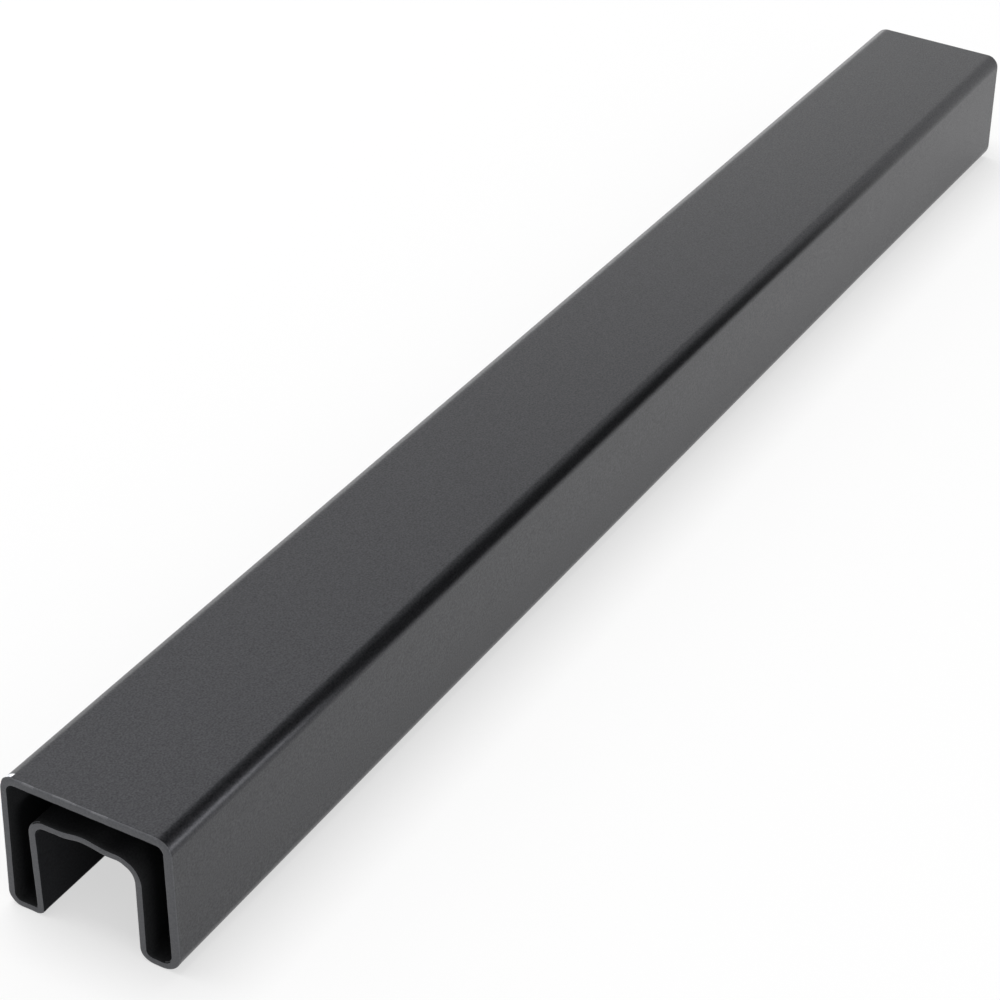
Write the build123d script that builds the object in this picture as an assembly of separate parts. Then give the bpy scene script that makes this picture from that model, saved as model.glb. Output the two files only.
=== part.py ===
from build123d import *
import os

# Glass fence handrail: a cut length of slotted tube that sits over the top edge of a glass fence.
# One strip is roll-formed into a closed tube whose underside is folded up into the slot for the glass.
# +X runs along the rail, +Z is up and the slot opens downwards. Left is +Y, as seen looking along +X.
# The origin lies on the plane of the feet, at the middle of the length and of the width.

# Driving sizes, in millimetres
rail_length = 265.0
wall = 1.2
slot_width = 14.0
slot_depth = 14.7
side_gap = 3.1
roof_gap = 3.9

# How the forming rolls leave the section
slot_shift = 0.15
wall_splay = 0.3
left_leg_toe_in = 0.4
crown_rise = 0.6
crown_width = 5.8
crown_shift = 0.3
crown_radius = 6.0

# Bend radii on the outer skin and on the slot's skin
top_bend = 2.2
left_foot_bend = 2.0
right_foot_bend = 2.6
mouth_bend = 1.9
left_roof_bend = 1.4
right_roof_bend = 1.75

# Rounding of the sawn and deburred ends
edge_break = 0.25

# Overall sizes that follow from the walls and the gaps between them
rail_width = slot_width + 4 * wall + 2 * side_gap
rail_height = slot_depth + 2 * wall + roof_gap
half_width = rail_width / 2
slot_left = slot_width / 2 + slot_shift
slot_right = -slot_width / 2 + slot_shift


def bends_that_fit(first, second, flat_length):
    """Return two neighbouring bend radii, made smaller together where the flat between them is short."""
    share = min(1.0, 0.95 * flat_length / (first + second))
    return first * share, second * share


def skin_line():
    """Return the closed line of the outer skin, which runs up into the slot and back out of it."""
    left_foot, left_mouth = bends_that_fit(left_foot_bend, mouth_bend, half_width - slot_left)
    right_foot, right_mouth = bends_that_fit(right_foot_bend, mouth_bend, half_width + slot_right)
    crown_centre = slot_shift + crown_shift
    bends = [
        ((half_width, rail_height), top_bend),
        ((half_width + wall_splay, 0), left_foot),
        ((slot_left, 0), left_mouth),
        ((slot_left + left_leg_toe_in, slot_depth), left_roof_bend),
        ((crown_centre + crown_width / 2, slot_depth), crown_radius),
        ((crown_centre, slot_depth + crown_rise), crown_radius),
        ((crown_centre - crown_width / 2, slot_depth), crown_radius),
        ((slot_right, slot_depth), right_roof_bend),
        ((slot_right, 0), right_mouth),
        ((-half_width - wall_splay, 0), right_foot),
        ((-half_width, rail_height), top_bend),
    ]
    corners = [corner for corner, radius in bends]
    radii = [radius for corner, radius in bends]
    return FilletPolyline(*corners, radius=radii, close=True)


def rail_section():
    """Return the cut face of the tube: the skin line filled in, less the cavity one wall inside it."""
    with BuildSketch(Plane.YZ) as section:
        with BuildLine():
            skin_line()
        make_face()
        offset(amount=-wall, mode=Mode.SUBTRACT)
    return section.sketch


def slotted_rail():
    """Return the tube at its cut length, with the outer edges of both sawn ends rounded."""
    tube = extrude(rail_section(), amount=rail_length / 2, both=True)
    ends = tube.faces().filter_by(Axis.X)
    rims = [edge for end in ends for edge in end.outer_wire().edges()]
    return fillet(rims, radius=edge_break)


os.makedirs("parts", exist_ok=True)
export_step(slotted_rail(), "parts/slotted_rail.step")
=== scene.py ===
# %% [markdown]
# # Glass fence handrail
# The real object is a cut length of slotted tube. It is pushed down over the top edge of a glass fence
# panel, so the glass stands in the slot and the flat top is what a hand rests on.
# One steel strip is roll-formed into the whole closed section, sawn to length and powder coated black.
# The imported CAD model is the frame: it says where the rail is, how long and how high. The section follows
# the CAD model too, apart from a few tenths of a millimetre where a real piece is less even.

# %% Load the frame
import math
import bmesh
import bpy
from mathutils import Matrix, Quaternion, Vector


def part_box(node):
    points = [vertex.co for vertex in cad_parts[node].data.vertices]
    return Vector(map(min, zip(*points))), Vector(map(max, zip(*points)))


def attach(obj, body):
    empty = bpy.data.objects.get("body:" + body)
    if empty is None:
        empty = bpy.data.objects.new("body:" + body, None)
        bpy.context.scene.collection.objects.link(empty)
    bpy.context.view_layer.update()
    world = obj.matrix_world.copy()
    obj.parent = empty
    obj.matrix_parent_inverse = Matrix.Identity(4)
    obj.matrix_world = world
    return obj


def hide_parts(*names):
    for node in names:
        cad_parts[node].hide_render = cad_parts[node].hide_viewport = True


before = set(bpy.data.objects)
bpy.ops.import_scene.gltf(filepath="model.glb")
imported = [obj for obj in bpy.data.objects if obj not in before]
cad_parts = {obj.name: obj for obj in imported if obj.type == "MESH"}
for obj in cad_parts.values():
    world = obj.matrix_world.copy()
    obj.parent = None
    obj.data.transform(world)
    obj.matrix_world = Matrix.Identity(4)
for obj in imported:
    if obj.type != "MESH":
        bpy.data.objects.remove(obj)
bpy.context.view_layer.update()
rail_low, rail_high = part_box("slotted_rail")
print("CAD box of the rail:", tuple(rail_low), tuple(rail_high))


# %% [markdown]
# ## Sizes of the rail
# The length and the height come from the frame. The section is the one the forming rolls leave: two outer
# walls that splay a little towards the feet, and a slot whose roof is pressed up into a low crown.
# A section could be given as dozens of points. A maker gives the fold lines and a bend radius for each,
# which is shorter, and each bend can then be changed alone. Left is +Y, as seen looking along the rail.

# %% Sizes in metres
MM = 0.001
length = rail_high.x - rail_low.x
top = rail_high.z
wall = 1.2 * MM
half_top_width = 12.5 * MM
left_top_shift = 0.11 * MM
wall_splay = 0.3 * MM
slot_depth = 14.7 * MM
slot_left = 7.15 * MM
slot_right = -6.85 * MM
left_leg_toe_in = 0.4 * MM
crown_centre = 0.45 * MM
crown_half_width = 2.9 * MM
crown_rise = 0.6 * MM
print("length, height and wall:", round(length, 4), round(top, 4), wall)

# %% Radii of the bends, on the outer skin and on the slot's skin
top_bend = 2.2 * MM
left_foot_bend = 2.0 * MM
right_foot_bend = 2.6 * MM
left_mouth_bend = 1.4 * MM
right_mouth_bend = 1.9 * MM
left_roof_bend = 1.4 * MM
right_roof_bend = 2.5 * MM
crown_bend = 6.0 * MM

# Each fold is a corner of the section and the radius it is bent to, in order round the strip.
folds = [
    ((half_top_width + left_top_shift, top), top_bend),
    ((half_top_width + wall_splay, 0.0), left_foot_bend),
    ((slot_left, 0.0), left_mouth_bend),
    ((slot_left + left_leg_toe_in, slot_depth), left_roof_bend),
    ((crown_centre + crown_half_width, slot_depth), crown_bend),
    ((crown_centre, slot_depth + crown_rise), crown_bend),
    ((crown_centre - crown_half_width, slot_depth), crown_bend),
    ((slot_right, slot_depth), right_roof_bend),
    ((slot_right, 0.0), right_mouth_bend),
    ((-half_top_width - wall_splay, 0.0), right_foot_bend),
    ((-half_top_width, top), top_bend),
]
corners = [Vector(corner) for corner, radius in folds]
print("folds in the strip:", len(folds))


# %% [markdown]
# ## The camera
# The photograph looks down on the near end from its right, through a long lens, so that the tube runs
# from the lower left corner to the upper right one. A long lens keeps the far end large.
# The camera is placed by where it stands and what it aims at, then turned a little about its own axis.

# %% Camera
camera_place = Vector((-308.60, -154.14, 224.28)) * MM
aim = Vector((-35.52, -1.06, 10.5)) * MM
camera_roll = math.radians(2.17)
bpy.ops.object.camera_add(location=camera_place)
camera = bpy.context.object
camera.name = "camera"
camera.data.lens = 92.19
camera.data.sensor_width = 36.0
camera.data.clip_start = 0.01
look = (aim - camera_place).to_track_quat("-Z", "Y")
camera.rotation_mode = "QUATERNION"
camera.rotation_quaternion = look @ Quaternion((0, 0, 1), camera_roll)
bpy.context.scene.camera = camera
print("camera stands", round((aim - camera_place).length, 3), "m from its aim")


# %% [markdown]
# ## Picking by place
# In the window a modeller clicks on edges and vertices. In a script they are picked by where they are, with
# a test that each has to pass. Everything else is deselected first, because an operator acts on all that
# is selected.

# %% Helpers that pick edges and vertices
NEAR = 0.02 * MM


def start_picking(piece, kind):
    """Turn to edges or vertices, deselect everything, and return the mesh that is being edited."""
    bpy.ops.mesh.select_mode(type=kind)
    bpy.ops.mesh.select_all(action="DESELECT")
    return bmesh.from_edit_mesh(piece.data)


def select(piece, mesh, picked):
    """Select the picked edges or vertices, and return how many there are."""
    for item in picked:
        item.select = True
    mesh.select_flush_mode()
    bmesh.update_edit_mesh(piece.data)
    return len(picked)


def pick_edges(piece, wanted):
    """Select only the edges for which wanted(first end, second end) is true, and return how many."""
    mesh = start_picking(piece, "EDGE")
    return select(piece, mesh, [edge for edge in mesh.edges if wanted(*[end.co for end in edge.verts])])


def pick_vertices(piece, wanted):
    """Select only the vertices for which wanted(place) is true, and return how many."""
    mesh = start_picking(piece, "VERT")
    return select(piece, mesh, [vertex for vertex in mesh.verts if wanted(vertex.co)])


def on_line(point, corner):
    """Say whether a point lies on the line along the rail that passes through a corner of the section."""
    return abs(point.y - corner.x) < NEAR and abs(point.z - corner.y) < NEAR


print("places nearer than", NEAR, "m count as the same")


# %% [markdown]
# ## Folding the strip
# The tube starts as flat strip, and the rolls fold it wall by wall. The mesh is made the same way: a plane
# is the top wall, and its left edge is extruded down the outer wall, in under the foot, up the slot, across
# the roof and back, until it meets the plane's other edge. Merging the two edges closes the tube, where
# the mill welds it. Drawing the section as a curve would also work, but this keeps clean strips of
# four-sided faces that run the whole length.

# %% Fold the strip
bpy.ops.object.select_all(action="DESELECT")
bpy.ops.mesh.primitive_plane_add(size=1, location=(0, 0, top))
rail = bpy.context.object
rail.name = "coated_rail"
rail.data.name = "coated_rail"
bpy.ops.object.mode_set(mode="EDIT")
bpy.ops.transform.resize(value=(length, 2 * half_top_width + left_top_shift, 1))
bpy.ops.transform.translate(value=(0, left_top_shift / 2, 0))
bpy.ops.object.mode_set(mode="OBJECT")
bpy.ops.object.transform_apply(location=True, rotation=True, scale=True)
bpy.ops.object.mode_set(mode="EDIT")
pick_edges(rail, lambda a, b: on_line(a, corners[0]) and on_line(b, corners[0]))
for start, end in zip(corners, corners[1:]):
    step = (0, end.x - start.x, end.y - start.y)
    bpy.ops.mesh.extrude_edges_move(TRANSFORM_OT_translate={"value": step})
bpy.ops.mesh.select_all(action="SELECT")
bpy.ops.mesh.remove_doubles(threshold=NEAR)
bpy.ops.mesh.normals_make_consistent(inside=False)
bpy.ops.object.mode_set(mode="OBJECT")
print("walls after folding:", len(rail.data.polygons))


# %% [markdown]
# ## Bending each fold to its radius
# Sheet steel can't be folded sharp: the outside of each bend is about two thicknesses of wall in radius.
# A bevel with a round profile makes such a bend. Its offset is the distance from the sharp corner to where
# the bend begins, which is the radius times the tangent of half the turn.

# %% Bend the folds
degrees_per_facet = 7.5
fewest_facets = 4
for index, (corner, radius) in enumerate(folds):
    into = (corners[index] - corners[index - 1]).normalized()
    out = (corners[(index + 1) % len(corners)] - corners[index]).normalized()
    turn = into.angle(out)
    bpy.ops.object.mode_set(mode="EDIT")
    pick_edges(rail, lambda a, b: on_line(a, corners[index]) and on_line(b, corners[index]))
    bpy.ops.mesh.bevel(
        offset_type="OFFSET",
        offset=radius * math.tan(turn / 2),
        segments=max(fewest_facets, round(math.degrees(turn) / degrees_per_facet)),
        profile=0.5,
        affect="EDGES",
        clamp_overlap=False,
    )
    bpy.ops.object.mode_set(mode="OBJECT")
print("faces after bending:", len(rail.data.polygons))


# %% [markdown]
# ## Cutting the flats into narrow strips
# A sawn edge is never dead straight, and a straight edge with a vertex only at each end can't be shaped.
# Bisecting with planes that stand along the rail divides the top, the roof and the feet without changing
# them, and gives vertices along the ends to work with later. Planes across the rail add a few rings near
# both ends, so that a change made at the end can die away further in.

# %% Places of the cuts
strip = 0.9 * MM
strip_shift = 0.07 * MM
wall_strip = 2 * strip
first_wall_cut = 3
below_top_bend = 3 * MM
nick_place = -0.85 * MM
nick_half_width = 0.28 * MM
ring_depths = (0.55 * MM, 1.1 * MM, 25 * MM, 60 * MM)


def cut_through(place, way):
    """Cut every face of the rail where it meets the plane through a place that faces a given way."""
    bpy.ops.mesh.select_all(action="SELECT")
    bpy.ops.mesh.bisect(plane_co=place, plane_no=way)


print("rings from each end:", ring_depths)

# %% Divide the flats
across_cuts = int(half_top_width / strip)
bpy.ops.object.mode_set(mode="EDIT")
for step in range(-across_cuts, across_cuts + 1):
    cut_through((0, step * strip + strip_shift, 0), (0, 1, 0))
for step in range(first_wall_cut, int((top - below_top_bend) / wall_strip)):
    cut_through((0, 0, step * wall_strip), (0, 0, 1))
for across in (nick_place - nick_half_width, nick_place, nick_place + nick_half_width):
    cut_through((0, across, 0), (0, 1, 0))
for inwards in ring_depths:
    for end in (-1, 1):
        cut_through((end * (length / 2 - inwards), 0, 0), (1, 0, 0))
bpy.ops.mesh.select_all(action="SELECT")
bpy.ops.mesh.remove_doubles(threshold=NEAR)
bpy.ops.mesh.normals_make_consistent(inside=False)
bpy.ops.object.mode_set(mode="OBJECT")
print("faces after dividing:", len(rail.data.polygons))


# %% [markdown]
# ## A saw cut that isn't quite square
# The near end was cut a couple of degrees out of square: its right side is a little shorter than its left.
# Turning the end vertices about the upright line through the left corner leans the cut, and the walls
# only get longer or shorter. A rotate in a script is told its own centre. With no window it turns the
# other way from the window's, so the angle is given with a minus to shorten the right side.

# %% Lean the near cut
cut_lean = math.radians(1.93)
cut_hinge = half_top_width + wall_splay
far_from_end = length / 2 - 2 * MM


def end_depth(place):
    """Return how far a place lies inside the plane of the leaned near cut."""
    cut = -length / 2 + (cut_hinge - place.y) * math.tan(cut_lean)
    return place.x - cut


bpy.ops.object.mode_set(mode="EDIT")
leaned = pick_vertices(rail, lambda place: place.x < -far_from_end)
bpy.ops.transform.rotate(value=-cut_lean, orient_axis="Z", center_override=(-length / 2, cut_hinge, 0))
bpy.ops.object.mode_set(mode="OBJECT")
ends = [v.co.x for v in rail.data.vertices if v.co.x < -far_from_end]
print("leaned", leaned, "vertices, now from", round(min(ends), 5), "m")


# %% [markdown]
# ## Walls that move at the ends
# Rolled strip is under strain. Where the saw cuts it free, the right leg springs outwards by a few tenths of
# a millimetre at its foot, and less and less further in. The upper left corner of the near end goes the
# other way and settles inwards by a tenth. Each ring of vertices is moved sideways by its own amount, and
# the leg more at its foot than higher up, so the walls bend gently instead of stepping.

# %% How far the walls move
ring_places = (0, *ring_depths)
spring_near = dict(zip(ring_places, (0.25 * MM, 0.25 * MM, 0.24 * MM, 0.10 * MM)))
spring_far = dict(zip(ring_places, (0.45 * MM, 0.45 * MM, 0.44 * MM, 0.28 * MM, 0.10 * MM)))
leg_top = 0.95 * top
left_settle = 0.12 * MM
settle_reach = 25 * MM


def spring_at(place):
    """Return how far the right leg has sprung outwards at a place on it."""
    table = spring_near if place.x < 0 else spring_far
    inwards = length / 2 - abs(place.x)
    nearest = min(table, key=lambda depth: abs(depth - inwards))
    return table[nearest] * (1 - place.z / top)


def settle_at(place):
    """Return how far the upper left corner has moved inwards at a place near the near end."""
    inwards = place.x + length / 2
    return left_settle * max(0, 1 - inwards / settle_reach) * place.z / top


def on_right_leg(place):
    """Say whether a place is on the right leg and near enough to an end to spring."""
    reach = max(spring_near if place.x < 0 else spring_far)
    return place.y < slot_right + 1 * MM and place.z < leg_top and length / 2 - abs(place.x) < reach + NEAR


def on_left_corner(place):
    """Say whether a place is on the upper left bend or the wall below it, and near the near end."""
    return place.y > half_top_width - top_bend - NEAR and place.x + length / 2 < settle_reach - NEAR


print("the right leg springs by up to", max(spring_far.values()), "m")

# %% Move the walls
same_spot = NEAR / 4


def places_of(piece, wanted):
    """Return the places of the vertices for which wanted(place) is true."""
    mesh = bmesh.from_edit_mesh(piece.data)
    return [vertex.co.copy() for vertex in mesh.verts if wanted(vertex.co)]


def nudge(piece, places, step_for):
    """Move each of the vertices at the given places by step_for(place)."""
    for spot in places:
        pick_vertices(piece, lambda place: (place - spot).length < same_spot)
        bpy.ops.transform.translate(value=step_for(spot))


bpy.ops.object.mode_set(mode="EDIT")
sprung = places_of(rail, on_right_leg)
nudge(rail, sprung, lambda place: (0, -spring_at(place), 0))
settled = places_of(rail, on_left_corner)
nudge(rail, settled, lambda place: (0, -settle_at(place), 0))
bpy.ops.object.mode_set(mode="OBJECT")
print("vertices sprung outwards:", len(sprung), "and settled inwards:", len(settled))


# %% [markdown]
# ## The wall
# So far the tube is a skin with no thickness. Solidify grows the wall inwards from it, at an even thickness
# round every bend. Its offsets to the material slots also give the hollow and the sawn ends a finish of
# their own: less powder reaches the hollow, and its dull finish is also painted shade inside the tube, while
# the sawn steel takes the coat differently.
# The vertex group that it fills marks the skin of the hollow, for picking it later.

# %% Name the finishes
finishes = {}
for name in (
    "satin_coat_on_skin",
    "thin_coat_and_painted_shade_in_hollow",
    "coat_on_sawn_end",
    "painted_shade_in_slot",
    "pale_coat_on_burr",
    "painted_glint_behind_lip",
):
    finishes[name] = bpy.data.materials.new(name)
    rail.data.materials.append(finishes[name])
SKIN, HOLLOW, SAWN_END, SLOT, PALE_BURR, GLINT = range(len(finishes))
print("finishes:", list(finishes))

# %% Give the wall its thickness
hollow_group = rail.vertex_groups.new(name="hollow_skin")
thicken = rail.modifiers.new("wall", "SOLIDIFY")
thicken.thickness = wall
thicken.offset = -1
thicken.use_even_offset = True
thicken.use_quality_normals = True
thicken.use_rim = True
thicken.material_offset = HOLLOW
thicken.material_offset_rim = SAWN_END
thicken.shell_vertex_group = hollow_group.name
bpy.ops.object.modifier_apply(modifier=thicken.name)
print("faces with the wall:", len(rail.data.polygons))


# %% [markdown]
# ## What the saw leaves behind
# A saw blade pushes a little metal ahead of it. Along the top of the near cut it has left a low burr,
# uneven from place to place, with a small nick in it. At the left corner the burr stands up as a lip, and
# the light that it catches is the brightest spot on the cut. Only the end vertices move, and at the corner
# those of the first ring too, so the burr dies away within a millimetre or so. It is raised after the wall
# has its thickness, because metal pushed outwards doesn't take the inside of the wall with it.

# %% Heights of the burr and the lip
# The burr is given as (place across, height) in millimetres, and the corner lip as (turn, height): the turn
# is in degrees round the bend, from the flat top.
burr = [(-11.0, 0.0), (-5.0, 0.02), (-4.0, 0.07), (-1.4, 0.08), (-0.4, 0.05), (0.6, 0.07), (1.2, 0.15)]
burr += [(3.0, 0.17), (4.5, 0.15), (5.2, 0.06), (6.8, 0.04), (8.4, 0.1), (9.6, 0.07), (10.4, 0.03)]
corner_lip = [(0, 0.03), (7.5, 0.1), (15, 0.22), (45, 0.22), (60, 0.08), (70, 0.0), (90, 0.0)]
ring_share = 0.3
nick_depth = 0.08 * MM
nick_inwards = 0.09 * MM
ripple_height = 0.018 * MM
ripple_across = 2.1
ripple_up = 1.6


def between(table, at):
    """Return the height in metres at a place, in proportion between the two listed heights beside it."""
    for (low, low_height), (high, high_height) in zip(table, table[1:]):
        if low <= at <= high:
            share = (at - low) / (high - low)
            return (low_height + share * (high_height - low_height)) * MM
    return 0.0


print("burr beside the nick:", between(burr, nick_place / MM), "m")

# %% Places on the upper left bend
first_ring = ring_depths[0]
skin_margin = 5 * NEAR
bend_middle = Vector((half_top_width + left_top_shift - left_settle - top_bend, top - top_bend))


def from_bend_middle(place):
    """Return where a place lies in the section, counted from the middle of the upper left bend."""
    return Vector((place.y, place.z)) - bend_middle


def bend_turn(place):
    """Return how far round the upper left bend a place lies, in degrees from the flat top."""
    away = from_bend_middle(place)
    return math.degrees(math.atan2(away.x, away.y))


def on_bend_skin(place):
    """Say whether a place lies on the outside of the upper left bend."""
    away = from_bend_middle(place)
    return away.x > 0 and away.y > 0 and away.length > top_bend - skin_margin


def at_lip_ring(place):
    """Say whether a place is on the first ring, on the outside of the upper left bend."""
    on_ring = place.x < -far_from_end and abs(end_depth(place) - first_ring) < first_ring / 2
    return on_ring and on_bend_skin(place)


print("middle of the bend:", tuple(round(c, 5) for c in bend_middle))

# %% Raise the burr and sink the nick


def lip_step(place):
    """Return the step sideways and up that the corner lip gives a place on the bend."""
    return from_bend_middle(place).normalized() * between(corner_lip, bend_turn(place))


def saw_step(place):
    """Return the step that an end vertex takes: up with the burr, out at the corner lip, in at the nick."""
    ripple = ripple_height * math.sin((ripple_across * place.y + ripple_up * place.z) / MM)
    if abs(place.y - nick_place) < NEAR and place.z > top - NEAR:
        return (nick_inwards, 0, -nick_depth)
    if on_bend_skin(place):
        out = lip_step(place)
        return (ripple, out.x, out.y)
    return (ripple, 0, between(burr, place.y / MM) if place.z > top - NEAR else 0)


def ring_step(place):
    """Return the smaller step of a first ring vertex at the corner lip."""
    out = lip_step(place)
    return (0, ring_share * out.x, ring_share * out.y)


bpy.ops.object.mode_set(mode="EDIT")
on_cut = places_of(rail, lambda place: place.x < -far_from_end and end_depth(place) < first_ring / 2)
at_lip = places_of(rail, at_lip_ring)
nudge(rail, at_lip, ring_step)
nudge(rail, on_cut, saw_step)
bpy.ops.object.mode_set(mode="OBJECT")
print("vertices of the near cut:", len(on_cut), "and of its corner lip:", len(at_lip))


# %% [markdown]
# ## Sawn ends
# The saw leaves a square end and the deburring wheel then breaks its edges: a quarter of a millimetre
# outside, where a hand may touch, and less inside the hollow. These narrow rounded edges catch the light
# as a thin bright line, and a render without them looks cut from paper.

# %% Break the edges of the sawn ends
outer_break = 0.25 * MM
inner_break = 0.18 * MM
outer_facets = 4
inner_facets = 2


def break_edges(on_hollow_side, offset, facets):
    """Bevel the edges of both sawn ends that lie on the skin, or on the hollow's side of the wall."""
    group = rail.vertex_groups["hollow_skin"].index
    bpy.ops.object.mode_set(mode="EDIT")
    mesh = start_picking(rail, "EDGE")
    weights = mesh.verts.layers.deform.active
    picked = []
    for edge in mesh.edges:
        near = all(end_depth(v.co) < first_ring / 2 for v in edge.verts)
        far = all(length / 2 - v.co.x < first_ring / 2 for v in edge.verts)
        inside = [group in v[weights] and v[weights][group] > 0.5 for v in edge.verts]
        if (near or far) and inside == [on_hollow_side, on_hollow_side]:
            picked.append(edge)
    count = select(rail, mesh, picked)
    bpy.ops.mesh.bevel(
        offset_type="OFFSET",
        offset=offset,
        segments=facets,
        profile=0.5,
        affect="EDGES",
        clamp_overlap=False,
        material=HOLLOW if on_hollow_side else SAWN_END,
    )
    bpy.ops.object.mode_set(mode="OBJECT")
    return count


print("edges broken outside:", break_edges(False, outer_break, outer_facets))
print("edges broken inside:", break_edges(True, inner_break, inner_facets))


# %% [markdown]
# ## Sorting the faces by finish
# The skin up in the slot has a dull finish that is painted shade, and so has the edge of the cut that turns
# into it. Of the hollow's broken edges, those that turn to the left take the cut's paler finish as painted
# light, and the others the hollow's finish. The burr's coat is paler in three places, and just behind the
# corner lip a patch of bright metal is a painted glint.
# A mask in the material could choose between finishes by place. The mesh already has an edge wherever one
# finish stops, so here each face is simply given the material slot it belongs to.

# %% Which part of the rail a face is on
slot_low = 0.9 * MM
slot_high = 16 * MM
slot_margin_left = 0.5 * MM
slot_margin_right = 0.2 * MM
rim_depth = 0.5 * MM
pale_burr_places = [(-3.4 * MM, -1.2 * MM), (0.9 * MM, 4.8 * MM), (6.9 * MM, 8.8 * MM)]
glint_depths = (0.2 * MM, ring_depths[1])
glint_turns = (14, 48)


def between_legs(place):
    """Say whether a place lies between the two legs, on the slot's side of them."""
    beside_slot = slot_right - slot_margin_right < place.y < slot_left + slot_margin_left
    return beside_slot and slot_low < place.z < slot_high


def on_pale_burr(face):
    """Say whether a face turns up along the top of the near cut, in one of the burr's paler places."""
    on_rim = face.normal.z > 0.2 and face.center.z > top - rim_depth and face.center.x < 0
    return on_rim and any(low < face.center.y < high for low, high in pale_burr_places)


def in_painted_glint(place):
    """Say whether a place lies in the painted glint, on the upper left bend behind the near cut."""
    behind_cut = glint_depths[0] < end_depth(place) < glint_depths[1]
    return behind_cut and on_bend_skin(place) and glint_turns[0] < bend_turn(place) < glint_turns[1]


print("the chip runs from", glint_turns[0], "to", glint_turns[1], "degrees round the bend")

# %% Give the faces their finish
turned = 0.25
for face in rail.data.polygons:
    # The skin between the legs takes the slot's dull finish, which is painted shade.
    if face.material_index == SKIN and between_legs(face.center):
        face.material_index = SLOT
    # Breaks of the cut that turn right into the slot take its painted shade, and breaks of the hollow that
    # turn left take the cut's paler finish as painted light.
    if face.material_index == SAWN_END and between_legs(face.center) and face.normal.y < -turned:
        face.material_index = SLOT
    if face.material_index == HOLLOW and abs(face.normal.x) > turned and face.normal.y > turned:
        face.material_index = SAWN_END
    # Three places of the cut's top rim are given a paler coat.
    if face.material_index == SAWN_END and on_pale_burr(face):
        face.material_index = PALE_BURR
    # The faces just behind the corner lip are given bright metal, a painted glint.
    if in_painted_glint(face.center):
        face.material_index = GLINT
given = [face.material_index for face in rail.data.polygons]
print("faces by finish:", {name: given.count(index) for index, name in enumerate(finishes)})

# %% Shade the bends smooth
bpy.ops.object.select_all(action="DESELECT")
rail.select_set(True)
bpy.context.view_layer.objects.active = rail
bpy.ops.object.shade_smooth_by_angle(angle=math.radians(40))
even = rail.modifiers.new("even_normals", "WEIGHTED_NORMAL")
even.keep_sharp = True
even.weight = 100
bpy.ops.object.modifier_apply(modifier=even.name)
print("faces in the finished rail:", len(rail.data.polygons))


# %% [markdown]
# ## Powder coat
# The finish is a satin black powder coat: a polymer skin that flows out almost smooth, with a fine grain
# and a slight unevenness. Its colour is nearly black. What the eye reads as dark grey is the studio
# reflected in the satin, more of it where the surface is seen at a glancing angle. A photograph of the coat
# would hold the studio's light as well, so the grain is made from noise, in one group that each finish
# uses with its own values.

# %% Node helpers


def link(tree, source, target):
    """Join an output socket to an input socket."""
    tree.links.new(source, target)


def group_with(name, inputs, outputs):
    """Make a shader node group. Inputs are (name, type, value) and outputs (name, type)."""
    group = bpy.data.node_groups.new(name, "ShaderNodeTree")
    for socket_name, kind, value in inputs:
        socket = group.interface.new_socket(socket_name, in_out="INPUT", socket_type=kind)
        if value is not None:
            socket.default_value = value
    for socket_name, kind in outputs:
        group.interface.new_socket(socket_name, in_out="OUTPUT", socket_type=kind)
    return group


def node(tree, kind, **settings):
    """Add a node and set its properties. A name that is a socket's sets that socket's value."""
    made = tree.nodes.new(kind)
    for key, value in settings.items():
        socket_name = key.replace("_", " ").title()
        if hasattr(made, key):
            setattr(made, key, value)
        else:
            made.inputs[socket_name].default_value = value
    return made


print("helpers for node trees are ready")

# %% Powder grain group
grain_group = group_with(
    "powder_grain",
    [
        ("Vector", "NodeSocketVector", None),
        ("Grain Size", "NodeSocketFloat", 0.26),
        ("Peel Size", "NodeSocketFloat", 2.2),
        ("Colour", "NodeSocketColor", (0.011, 0.0115, 0.0125, 1)),
        ("Colour Change", "NodeSocketFloat", 0.25),
        ("Roughness", "NodeSocketFloat", 0.34),
        ("Roughness Change", "NodeSocketFloat", 0.05),
        ("Gloss", "NodeSocketFloat", 0.15),
        ("Gloss Change", "NodeSocketFloat", 0.8),
    ],
    [
        ("Colour", "NodeSocketColor"),
        ("Coat", "NodeSocketFloat"),
        ("Roughness", "NodeSocketFloat"),
        ("Height", "NodeSocketFloat"),
    ],
)
entry = node(grain_group, "NodeGroupInput")
leave = node(grain_group, "NodeGroupOutput")
print("group:", grain_group.name)

# %% Two noises: the fine grain, and the slow unevenness that sprayers call peel


def noise_of(size_name, detail):
    """Add a noise whose features are as many millimetres across as one of the group's inputs says."""
    noise = node(grain_group, "ShaderNodeTexNoise", detail=detail)
    link(grain_group, entry.outputs["Vector"], noise.inputs["Vector"])
    scale = node(grain_group, "ShaderNodeMath", operation="DIVIDE")
    scale.inputs[0].default_value = 1 / MM
    link(grain_group, entry.outputs[size_name], scale.inputs[1])
    link(grain_group, scale.outputs[0], noise.inputs["Scale"])
    return noise.outputs["Fac"]


def around_zero(value_socket, amount_name):
    """Return a socket that swings by an input's amount to either side of nothing as a noise goes 0 to 1."""
    centre = node(grain_group, "ShaderNodeMath", operation="SUBTRACT")
    link(grain_group, value_socket, centre.inputs[0])
    centre.inputs[1].default_value = 0.5
    swing = node(grain_group, "ShaderNodeMath", operation="MULTIPLY")
    link(grain_group, centre.outputs[0], swing.inputs[0])
    link(grain_group, entry.outputs[amount_name], swing.inputs[1])
    return swing.outputs[0]


grain_noise = noise_of("Grain Size", 3.0)
peel_noise = noise_of("Peel Size", 2.0)
print("nodes in the group:", len(grain_group.nodes))

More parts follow.
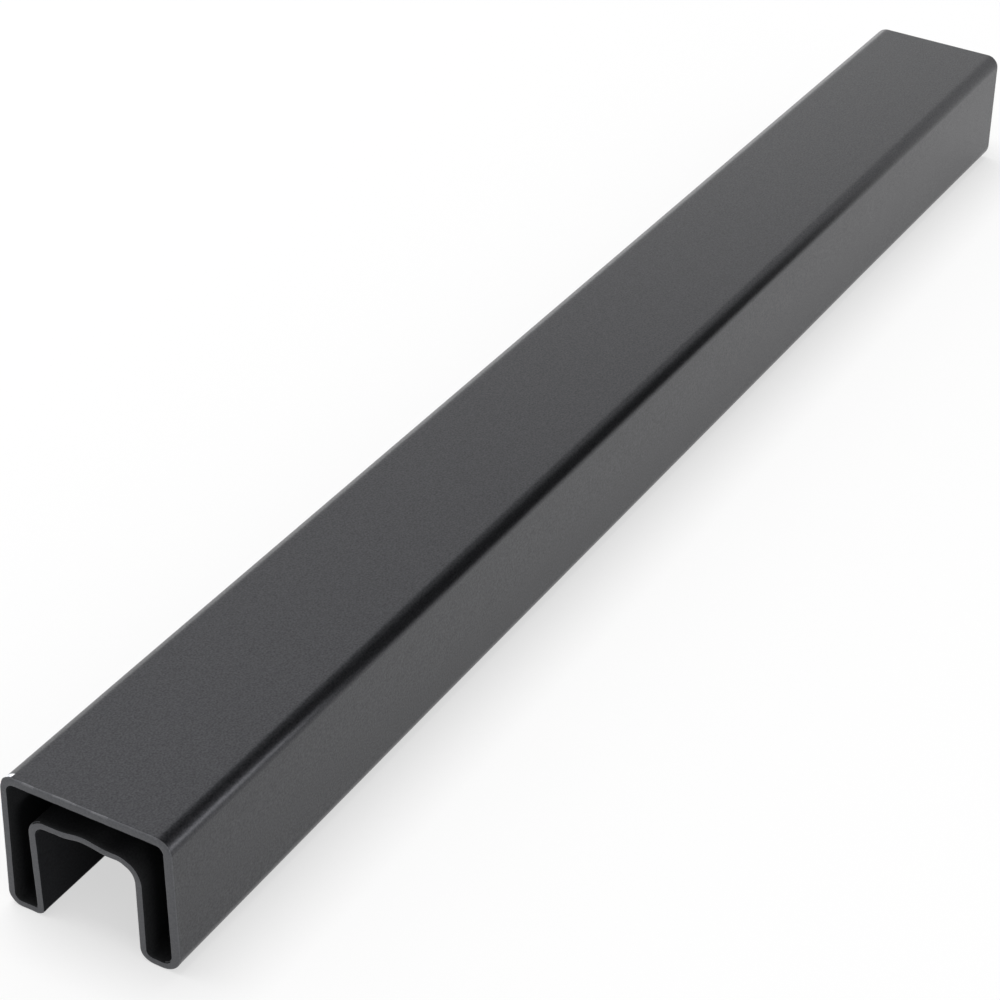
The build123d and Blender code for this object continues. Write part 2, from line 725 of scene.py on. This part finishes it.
# %% What the group puts out
# A noise seldom strays far from its middle, so the colour's swing is widened to show.
colour_spread = 4.0
peel_height = 1.5
factor = node(grain_group, "ShaderNodeMath", operation="MULTIPLY_ADD")
link(grain_group, around_zero(grain_noise, "Colour Change"), factor.inputs[0])
factor.inputs[1].default_value = colour_spread
factor.inputs[2].default_value = 1.0
tint = node(grain_group, "ShaderNodeVectorMath", operation="SCALE")
link(grain_group, entry.outputs["Colour"], tint.inputs[0])
link(grain_group, factor.outputs[0], tint.inputs["Scale"])
link(grain_group, tint.outputs[0], leave.inputs["Colour"])
rough = node(grain_group, "ShaderNodeMath", operation="ADD")
link(grain_group, entry.outputs["Roughness"], rough.inputs[0])
link(grain_group, around_zero(peel_noise, "Roughness Change"), rough.inputs[1])
link(grain_group, rough.outputs[0], leave.inputs["Roughness"])
coat = node(grain_group, "ShaderNodeMath", operation="ADD", use_clamp=True)
link(grain_group, entry.outputs["Gloss"], coat.inputs[0])
link(grain_group, around_zero(grain_noise, "Gloss Change"), coat.inputs[1])
link(grain_group, coat.outputs[0], leave.inputs["Coat"])
height = node(grain_group, "ShaderNodeMath", operation="MULTIPLY_ADD")
link(grain_group, peel_noise, height.inputs[0])
height.inputs[1].default_value = peel_height
link(grain_group, grain_noise, height.inputs[2])
link(grain_group, height.outputs[0], leave.inputs["Height"])
print("the group puts out:", [socket.name for socket in leave.inputs if socket.name])


# %% [markdown]
# ## One material for each finish
# The skin has the full satin gloss, as a thin clear coat whose weight changes from grain to grain. That
# change is what gives the top its fine speckle. The hollow is dull, partly as painted shade, and the slot's
# dullness is painted shade. The cut is matt and paler because the coat is thin over bright steel, and the
# painted glint behind the lip is mostly metal.

# %% Coat materials
resin_tint = (0.885, 0.895, 1.0, 1)
gloss_swing = 4.5
bump_height = 0.02 * MM


def empty_tree(owner):
    """Turn on the nodes of a material or a world, remove the ones it starts with, and return its tree."""
    owner.use_nodes = True
    owner.node_tree.nodes.clear()
    return owner.node_tree


def coat_material(name, colour, roughness, bump_strength, shine=0.5, colour_change=0.25, gloss=0.0):
    """Fill one of the rail's materials with powder coat made from the grain group."""
    material = finishes[name]
    tree = empty_tree(material)
    out = node(tree, "ShaderNodeOutputMaterial")
    shader = node(tree, "ShaderNodeBsdfPrincipled")
    shader.inputs["IOR"].default_value = 1.5
    shader.inputs["Specular Tint"].default_value = resin_tint
    shader.inputs["Coat Roughness"].default_value = roughness
    shader.inputs["Specular IOR Level"].default_value = shine
    place = node(tree, "ShaderNodeTexCoord")
    grain = node(tree, "ShaderNodeGroup", node_tree=grain_group)
    grain.inputs["Colour"].default_value = (*colour, 1)
    grain.inputs["Roughness"].default_value = roughness
    grain.inputs["Colour Change"].default_value = colour_change
    grain.inputs["Gloss"].default_value = gloss
    grain.inputs["Gloss Change"].default_value = gloss_swing * gloss
    bump = node(tree, "ShaderNodeBump")
    bump.inputs["Strength"].default_value = bump_strength
    bump.inputs["Distance"].default_value = bump_height
    link(tree, place.outputs["Object"], grain.inputs["Vector"])
    link(tree, grain.outputs["Colour"], shader.inputs["Base Color"])
    link(tree, grain.outputs["Roughness"], shader.inputs["Roughness"])
    link(tree, grain.outputs["Height"], bump.inputs["Height"])
    link(tree, bump.outputs["Normal"], shader.inputs["Normal"])
    if gloss > 0:
        link(tree, grain.outputs["Coat"], shader.inputs["Coat Weight"])
    link(tree, shader.outputs["BSDF"], out.inputs["Surface"])
    return shader


coat_material(
    "satin_coat_on_skin", (0.0073, 0.0075, 0.0084), 0.33, 0.22, shine=0.37, colour_change=0.9, gloss=0.16
)
# The hollow's dull, low-shine finish is a thin coat and also painted shade inside the tube.
coat_material("thin_coat_and_painted_shade_in_hollow", (0.018, 0.0185, 0.0195), 0.8, 0.5, shine=0.02)
# The slot's dull, low-shine finish is painted shade between the legs.
coat_material("painted_shade_in_slot", (0.016, 0.0165, 0.018), 0.7, 0.5, shine=0.02)
coat_material("coat_on_sawn_end", (0.077, 0.0785, 0.082), 0.45, 0.4)
coat_material("pale_coat_on_burr", (0.120, 0.122, 0.127), 0.4, 0.4)
# Bright metal behind the corner lip: a painted glint.
glint_shader = coat_material("painted_glint_behind_lip", (0.85, 0.86, 0.88), 0.35, 0.3)
glint_shader.inputs["Metallic"].default_value = 0.6
print("materials on the rail:", [slot.name for slot in rail.material_slots])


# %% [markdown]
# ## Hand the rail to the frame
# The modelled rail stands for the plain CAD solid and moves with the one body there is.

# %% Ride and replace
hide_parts("slotted_rail")
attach(rail, "root")
print(rail.name, "rides on root and stands for slotted_rail")


# %% [markdown]
# ## Floor and background
# The photograph has a pure white ground. A pale matt floor under plain light gives part of it, and keeps the
# soft shadow that the rail stands in. The rest is a glow that only camera, glossy and transmission rays
# meet, as Light Path tells them apart, so the light that falls on the object stays plain.

# %% Rays that see plain white
lift = 0.6


def seen_rays(tree):
    """Return a socket that is 1 for camera, glossy and transmission rays and 0 for the others."""
    path = node(tree, "ShaderNodeLightPath")
    first = node(tree, "ShaderNodeMath", operation="MAXIMUM")
    link(tree, path.outputs["Is Camera Ray"], first.inputs[0])
    link(tree, path.outputs["Is Glossy Ray"], first.inputs[1])
    second = node(tree, "ShaderNodeMath", operation="MAXIMUM")
    link(tree, first.outputs[0], second.inputs[0])
    link(tree, path.outputs["Is Transmission Ray"], second.inputs[1])
    return second.outputs[0]


print("share of the floor's white that only those rays meet:", lift)

# %% Floor


def add_sheet(name, size, place):
    """Add a square sheet of the stage, lying flat."""
    bpy.ops.object.select_all(action="DESELECT")
    bpy.ops.mesh.primitive_plane_add(size=size, location=place)
    sheet = bpy.context.object
    sheet.name = name
    return sheet


floor = add_sheet("floor", 8, (0, 0, 0))
floor_paint = bpy.data.materials.new("pale_floor")
tree = empty_tree(floor_paint)
out = node(tree, "ShaderNodeOutputMaterial")
paint = node(tree, "ShaderNodeBsdfDiffuse")
paint.inputs["Color"].default_value = (1 - lift, 1 - lift, 1 - lift, 1)
glow = node(tree, "ShaderNodeEmission")
glow.inputs["Color"].default_value = (1, 1, 1, 1)
amount = node(tree, "ShaderNodeMath", operation="MULTIPLY")
link(tree, seen_rays(tree), amount.inputs[0])
amount.inputs[1].default_value = lift
link(tree, amount.outputs[0], glow.inputs["Strength"])
both = node(tree, "ShaderNodeAddShader")
link(tree, paint.outputs[0], both.inputs[0])
link(tree, glow.outputs[0], both.inputs[1])
link(tree, both.outputs[0], out.inputs["Surface"])
floor_paint.cycles.emission_sampling = "NONE"
floor.data.materials.append(floor_paint)
print("floor is", round(floor.dimensions.x, 1), "m wide")

# %% World
fill = 0.45
world = bpy.data.worlds.new("studio")
bpy.context.scene.world = world
world.cycles.sampling_method = "NONE"
tree = empty_tree(world)
out = node(tree, "ShaderNodeOutputWorld")
light = node(tree, "ShaderNodeBackground")
light.inputs["Color"].default_value = (1, 1, 1, 1)
light.inputs["Strength"].default_value = fill
white = node(tree, "ShaderNodeBackground")
white.inputs["Color"].default_value = (1, 1, 1, 1)
pick = node(tree, "ShaderNodeMixShader")
link(tree, seen_rays(tree), pick.inputs[0])
link(tree, light.outputs[0], pick.inputs[1])
link(tree, white.outputs[0], pick.inputs[2])
link(tree, pick.outputs[0], out.inputs["Surface"])
print("light from the world:", fill)


# %% [markdown]
# ## Lamps
# The overhead softbox is the main light. It stands a little to the left, so the rail's soft shadow falls
# to the right. The low lamp at the near right lights the sawn end and the right side. Neither is mirrored,
# because a mirrored lamp would draw a hot patch on the satin.
# The others are mainly there to be mirrored: one low beyond the far end, at its left, for the upper left
# bend, one high above that for the near half of the top, and a small one at the near left for the lip at
# the corner of the cut.

# %% Lamps


def towards(azimuth, elevation):
    """Return the direction from the rail to a place on the sky. Azimuth is from +X towards +Y, in degrees."""
    a = math.radians(azimuth)
    e = math.radians(elevation)
    return Vector((math.cos(e) * math.cos(a), math.cos(e) * math.sin(a), math.sin(e)))


def softbox(name, azimuth, elevation, distance, width, height, radiance):
    """Add a lamp of a width, a height and a brightness, on a sphere round the rail and facing it."""
    away = towards(azimuth, elevation)
    bpy.ops.object.light_add(type="AREA", location=away * distance)
    lamp = bpy.context.object
    lamp.name = name
    lamp.data.shape = "RECTANGLE"
    lamp.data.size = width
    lamp.data.size_y = height
    lamp.data.energy = radiance * 4 * width * height
    lamp.rotation_mode = "QUATERNION"
    lamp.rotation_quaternion = (-away).to_track_quat("-Z", "Y")
    lamp.visible_camera = False
    return lamp


overhead = softbox("overhead", 90, 77, 1.3, 0.8, 0.8, 4.0)
overhead.visible_glossy = False
rim_light = softbox("rim_light", 144, 42, 1.1, 0.45, 0.45, 1.2)
rim_light.visible_diffuse = False
back_left = softbox("back_left", 42, 9, 1.3, 1.0, 0.34, 0.95)
near_sheen = softbox("near_sheen", 50, 55, 1.3, 0.9, 0.6, 1.05)
near_sheen.visible_diffuse = False
near_right = softbox("near_right", -117, 4, 1.0, 0.5, 0.2, 9.0)
near_right.visible_glossy = False
print("lamps:", [lamp.name for lamp in (overhead, rim_light, back_left, near_sheen, near_right)])


# %% [markdown]
# ## A glowing panel at the right
# The right side mirrors one more softbox, beyond the end of the black card. A lamp would shine through the
# card, since the card is made to stop no light. A glowing sheet is met only by reflected rays, so the card
# hides it as it would in the studio.

# %% Glowing panel
panel_size = (500 * MM, 280 * MM)
panel_way = towards(-61, 8)
panel_strength = 5.15


def only_mirrored(sheet, material):
    """Give a sheet of the stage its material, and hide it from all but reflected rays."""
    sheet.data.materials.append(material)
    sheet.visible_camera = False
    sheet.visible_diffuse = False
    sheet.visible_shadow = False
    sheet.visible_transmission = False


panel = add_sheet("right_panel", 1, panel_way)
bpy.ops.object.mode_set(mode="EDIT")
bpy.ops.transform.resize(value=(*panel_size, 1))
bpy.ops.object.mode_set(mode="OBJECT")
panel.rotation_mode = "QUATERNION"
panel.rotation_quaternion = (-panel_way).to_track_quat("-Z", "Y")
panel_light = bpy.data.materials.new("panel_glow")
tree = empty_tree(panel_light)
out = node(tree, "ShaderNodeOutputMaterial")
shine = node(tree, "ShaderNodeEmission")
shine.inputs["Strength"].default_value = panel_strength
link(tree, shine.outputs[0], out.inputs["Surface"])
panel_light.cycles.emission_sampling = "NONE"
only_mirrored(panel, panel_light)
print("panel stands at", [round(c, 3) for c in panel.location])


# %% [markdown]
# ## A strip of black card
# Beside a dark product a photographer stands a strip of black card. The upper right bend mirrors it as
# one soft dark line, and the two flat faces read apart. Only reflected rays meet this card, so it casts
# no shadow and isn't seen itself. Its upper corners are moved apart until the line is as long as in the
# photograph.

# %% Black card
card_from = -60 * MM
card_to = 137 * MM
card_away = -66 * MM
card_foot = 3.7 * MM
card_height = 585 * MM
card_near_lean = 22 * MM
card_far_lean = 138 * MM
card = add_sheet("black_card", 1, (0, 0, 0))
bpy.ops.object.mode_set(mode="EDIT")
bpy.ops.transform.resize(value=(card_to - card_from, card_height - card_foot, 1))
bpy.ops.transform.rotate(value=math.radians(-90), orient_axis="X", center_override=(0, 0, 0))
middle = ((card_from + card_to) / 2, card_away, (card_foot + card_height) / 2)
bpy.ops.transform.translate(value=middle)
pick_vertices(card, lambda place: place.x < 0 and place.z > card_height / 2)
bpy.ops.transform.translate(value=(-card_near_lean, 0, 0))
pick_vertices(card, lambda place: place.x > 0 and place.z > card_height / 2)
bpy.ops.transform.translate(value=(card_far_lean, 0, 0))
bpy.ops.object.mode_set(mode="OBJECT")
card_black = bpy.data.materials.new("card_black")
card_black.use_nodes = True
card_black.node_tree.nodes["Principled BSDF"].inputs["Base Color"].default_value = (0, 0, 0, 1)
card_black.node_tree.nodes["Principled BSDF"].inputs["Specular IOR Level"].default_value = 0
only_mirrored(card, card_black)
print("card corners:", [tuple(round(c, 3) for c in v.co) for v in card.data.vertices])


# %% [markdown]
# ## A grey scrim over the right side
# The upper right bend also mirrors the white studio above the card, and would show a bright line there. A
# photographer hangs a scrim, a sheet of grey net, to dim such a place without making it black. This one
# lets about two fifths of the light through, and only reflected rays meet it.

# %% Grey scrim
scrim_size = 1.6
scrim_place = (-150 * MM, -500 * MM, 592 * MM)
scrim_lets_through = 0.39
scrim = add_sheet("grey_scrim", scrim_size, scrim_place)
scrim_cloth = bpy.data.materials.new("scrim_grey")
tree = empty_tree(scrim_cloth)
out = node(tree, "ShaderNodeOutputMaterial")
sheer = node(tree, "ShaderNodeBsdfTransparent")
sheer.inputs["Color"].default_value = (scrim_lets_through, scrim_lets_through, scrim_lets_through, 1)
link(tree, sheer.outputs[0], out.inputs["Surface"])
only_mirrored(scrim, scrim_cloth)
print("the scrim lets through", scrim_lets_through)

# %% Show colours as they are written
bpy.context.scene.view_settings.view_transform = "Standard"
print("view transform:", bpy.context.scene.view_settings.view_transform)
